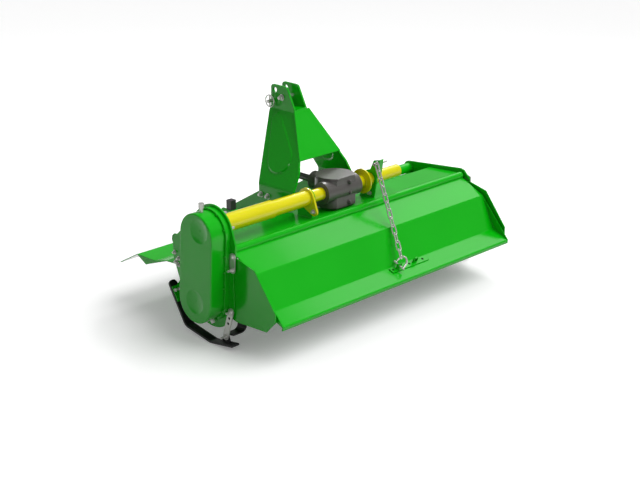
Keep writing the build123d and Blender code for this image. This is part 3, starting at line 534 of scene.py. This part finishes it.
# Gearbox
# A grey cast housing with a flat back and a lid on top, on the drive tube's axis. The input shaft
# leaves its neck at the front. Three screws close the bores in its back.
casting_paint = paint("casting_paint", (0.105, 0.098, 0.092), 0.36, shade=0.85, peel=0.35, grain=260.0,
                      edge=4.0, gloss=0.45)
dress(casting_paint, "gearbox_housing", "gearbox_cover")
shaft_steel = paint("shaft_steel", (0.10, 0.10, 0.10), 0.32, metal=0.5, gloss=0.5)
dress(shaft_steel, "input_shaft")
back_y, screw_x, screw_levels = -50.0, -12.5, (606, 554, 504)
fastened("gearbox_screws", "frame", "grey_casting", casting_paint, hexagon_bolt,
         [((screw_x, back_y, z), (0, -1, 0)) for z in screw_levels],
         Head=9, Height=8, Washer=11.5, Thread=4.5, Stub=0)


# Mast and lower hitch
# Two plates with a pressed panel each splay from the top link down to the lower hitch brackets,
# with a plate across their backs. A cross bolt and a ring pin are at the top, bolts at the feet.
# a paler copy of the zinc plating for the spacer and the chain's parts: real plated steel, but its lighter
# colour is painted light so that they read as lit
painted_lit_zinc = paint("painted_lit_zinc", (0.80, 0.80, 0.77), 0.20, metal=0.75, gloss=0.6, edge=1.0)
dress(green_paint, "mast_plate_left", "mast_plate_right", "mast_back_plate", "hitch_bracket_left",
      "hitch_bracket_right")
dress(zinc_plate, "hitch_pin_left", "hitch_pin_right")
dress(painted_lit_zinc, "mast_spacer")
mast_out, foot_out = 43.0, 212.0
cross_hole, foot_holes = (357, 962), ((285, 508), (334, 508))
fastened("cross_bolt", "frame", "zinc", zinc_plate, hexagon_bolt,
         on_both_sides(mast_out, [cross_hole], mid_x),
         Head=13, Height=10, Washer=16, Thread=8, Stub=6)
fastened("hitch_bolts", "frame", "zinc", zinc_plate, hexagon_bolt,
         on_both_sides(foot_out, foot_holes, mid_x),
         Head=12, Height=9, Washer=15, Thread=7, Stub=4)


def swept(name, path, wire, closed=False):
    """A closed mesh of a round wire, its radius and its path's points in millimetres."""
    curve = bpy.data.curves.new(name, "CURVE")
    curve.dimensions = "3D"
    curve.bevel_depth = wire / 1000
    curve.bevel_resolution = 3
    curve.use_fill_caps = True
    spline = curve.splines.new("POLY")
    spline.points.add(len(path) - 1)
    for point, spot in zip(spline.points, path):
        point.co = (*place(*spot), 1.0)
    spline.use_cyclic_u = closed
    spline.use_smooth = True
    shape = bpy.data.objects.new(name, curve)
    scene.collection.objects.link(shape)
    depsgraph = bpy.context.evaluated_depsgraph_get()
    mesh = bpy.data.meshes.new_from_object(shape.evaluated_get(depsgraph), depsgraph=depsgraph)
    bpy.data.objects.remove(shape)
    mesh.name = name
    piece = bpy.data.objects.new(name, mesh)
    scene.collection.objects.link(piece)
    return piece


peg_at, peg_seat, peg_over, peg_radius = (419.0, 938.0), 2.0, 14.0, 8.5
ring_x, ring_radius, ring_wire, shank_wire = -92.0, 30.0, 2.7, 4.2
peg_line = [(mid_x - mast_out + peg_seat, *peg_at), (ring_x - peg_over, *peg_at)]
shank_line = [(ring_x, peg_at[0], peg_at[1] + side * ring_radius) for side in (-1, 1)]
peg = swept("ring_pin_peg", peg_line, peg_radius)
ring = swept("ring_pin_ring", ring_line(ring_x, peg_at, ring_radius)[:-1], ring_wire, closed=True)
shank = swept("ring_pin_shank", shank_line, shank_wire)
for piece in (peg, ring, shank):
    piece.data.materials.append(zinc_plate)
    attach(piece, "frame")


# Parking stand
# A square steel leg on a flat foot, painted dark, slides in a green sleeve that is welded to the
# front tube. A small flat ear is welded to the sleeve's front.
stand_paint = paint("stand_paint", (0.045, 0.038, 0.046), 0.30, gloss=0.4)
dress(stand_paint, "stand_leg")
dress(green_paint, "stand_sleeve")


def cut_plate(name, body, finish, corners, depth):
    """A flat plate: its outline in millimetres, and the way and distance it is thick."""
    shape = bmesh.new()
    near = [shape.verts.new(place(*corner)) for corner in corners]
    far = [shape.verts.new(place(*(Vector(corner) + Vector(depth)))) for corner in corners]
    shape.faces.new(near)
    shape.faces.new(far[::-1])
    for index in range(len(near)):
        shape.faces.new((near[index - 1], near[index], far[index], far[index - 1]))
    bmesh.ops.recalc_face_normals(shape, faces=shape.faces)
    mesh = bpy.data.meshes.new(name)
    shape.to_mesh(mesh)
    shape.free()
    mesh.materials.append(finish)
    piece = bpy.data.objects.new(name, mesh)
    scene.collection.objects.link(piece)
    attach(piece, body)


stand_x, ear_t = -425.0, 8.0
ear_outline = ((366, 440), (408, 440), (414, 446), (414, 460), (408, 466), (366, 466))
cut_plate("sleeve_ear", "frame", green_paint,
          [(stand_x - ear_t / 2, *point) for point in ear_outline], (ear_t, 0, 0))


# Flap
# The rear flap is one green steel sheet, folded lengthwise, whose rolled edge turns on the hinge rod.
# A drilled bar with two lugs for the chain's shackle is welded to it, just below its middle fold.
dress(green_paint, "flap", "flap_chain_bar")
flap_fold, flap_edge, lug_run = Vector((-315.0, 231.0)), Vector((-407.0, 190.0)), 22.0
down = (flap_edge - flap_fold).normalized()
up = Vector((down.y, -down.x))
lug_foot = flap_fold + down * lug_run


def on_bar(x, run, height):
    """A point over the bar: run down the flap from the lugs' line, height off the flap."""
    return (x, *(lug_foot + down * run + up * height))


lug_x, lug_t, lug_hole, bar_t, bar_hole_x = 150.0, 8.0, 20.0, 5.0, (-4, 112, 208)
lug_outline = ((-15, 4), (15, 4), (15, 22), (9, 32), (-9, 32), (-15, 22))
cut_plate("spare_lug", "flap", green_paint,
          [on_bar(lug_x + x, -lug_t / 2, height) for x, height in lug_outline], (0, *(down * lug_t)))
# the bar's drilled holes and the spare lug's hole are drawn as flat discs of painted shade
fastened("bar_holes", "flap", "black_paint", painted_hole_shade, domed_bolt,
         [(on_bar(x, 0, bar_t), (0, *up)) for x in bar_hole_x], **hole_sizes)
fastened("spare_lug_hole", "flap", "black_paint", painted_hole_shade, domed_bolt,
         [(on_bar(lug_x, side * lug_t / 2, lug_hole), (0, *(down * side))) for side in (-1, 1)], **hole_sizes)


# Chain and shackle
# A welded steel chain, plated, hangs from a pin on its bracket, and a bow shackle joins it to the
# flap's bar.
# the hook pin, shackle and chain take the paler zinc copy, whose lighter colour is painted light
dress(painted_lit_zinc, "chain_hook_pin", "shackle")
start, size = new_tree("chain_links", Length=58, Width=29, Wire=8)
outline = start.node("GeometryNodeCurvePrimitiveQuadrilateral", 0, {"Width": size["Length"] - size["Wire"],
                                                                    "Height": size["Width"] - size["Wire"]})
end_round = (size["Width"] - size["Wire"]) * 0.5
outline = start.node("GeometryNodeFilletCurve", 0, {"Curve": outline, "Radius": end_round, "Count": 8},
                     mode="POLY")
wire = start.node("GeometryNodeCurvePrimitiveCircle", 0, {"Resolution": 10, "Radius": size["Wire"] * 0.5})
link = start.node("GeometryNodeCurveToMesh", 0, {"Curve": outline, "Profile Curve": wire})
link = start.node("GeometryNodeSetShadeSmooth", 0, {"Geometry": link})
turn = start.node("FunctionNodeAxesToRotation", 0, {0: carried(start, "along"), 1: carried(start, "upright")},
                  primary_axis="X", secondary_axis="Z")
links = start.node("GeometryNodeInstanceOnPoints", 0, {"Points": size["Geometry"], "Instance": link,
                                                       "Rotation": turn})
close_tree(links, size["Finish"])

# the chain's straight line, from the middle of the shackle's bow to the hook pin
shackle_lug_x, hook_at, hook_pin_radius = 31.0, (172.0, -59.0, 658.0), 5.0
shackle_leg, bow_radius, shackle_wire, link_play, link_count = 24.0, 24.0, 11.0, 0.3, 12
pin_at, slope = Vector(on_bar(shackle_lug_x, 0, lug_hole)), Vector((0.0, *down))
pull = Vector(hook_at) - pin_at
bow_axis = (pull - slope * pull.dot(slope)).normalized()
bow_at = pin_at + bow_axis * shackle_leg
chain_way = (Vector(hook_at) - bow_at).normalized()
distance = (Vector(hook_at) - bow_at).length
link_step = (distance - bow_radius + shackle_wire / 2 + hook_pin_radius + link_play) / link_count
link_first = bow_radius - shackle_wire / 2 + (link_step - link_play) / 2

# each link is turned a quarter from the last, less what sets both ends square to what they hold
first_upright = chain_way.cross(slope.cross(bow_axis)).normalized()
last_upright = Vector((1.0, 0.0, 0.0)) - chain_way * chain_way.x
across_turn = chain_way.dot(first_upright.cross(last_upright))
whole_turn = degrees(atan2(across_turn, first_upright.dot(last_upright)))
quarters = 90 * (link_count - 1)
link_turn = 90 + ((whole_turn - quarters + 90) % 180 - 90) / (link_count - 1)

spine = bpy.data.meshes.new("flap_chain")
link_spots = [bow_at + chain_way * (link_first + index * link_step) for index in range(link_count)]
spine.from_pydata([place(*spot) for spot in link_spots], [], [])
for label in ("along", "upright"):
    spine.attributes.new(label, "FLOAT_VECTOR", "POINT")
for index in range(link_count):
    upright = first_upright.copy()
    upright.rotate(Quaternion(chain_way, radians(index * link_turn)))
    spine.attributes["along"].data[index].vector = chain_way
    spine.attributes["upright"].data[index].vector = upright
flap_chain = grown("flap_chain", spine, start.tree, painted_lit_zinc)
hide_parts("chain")
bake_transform(flap_chain)
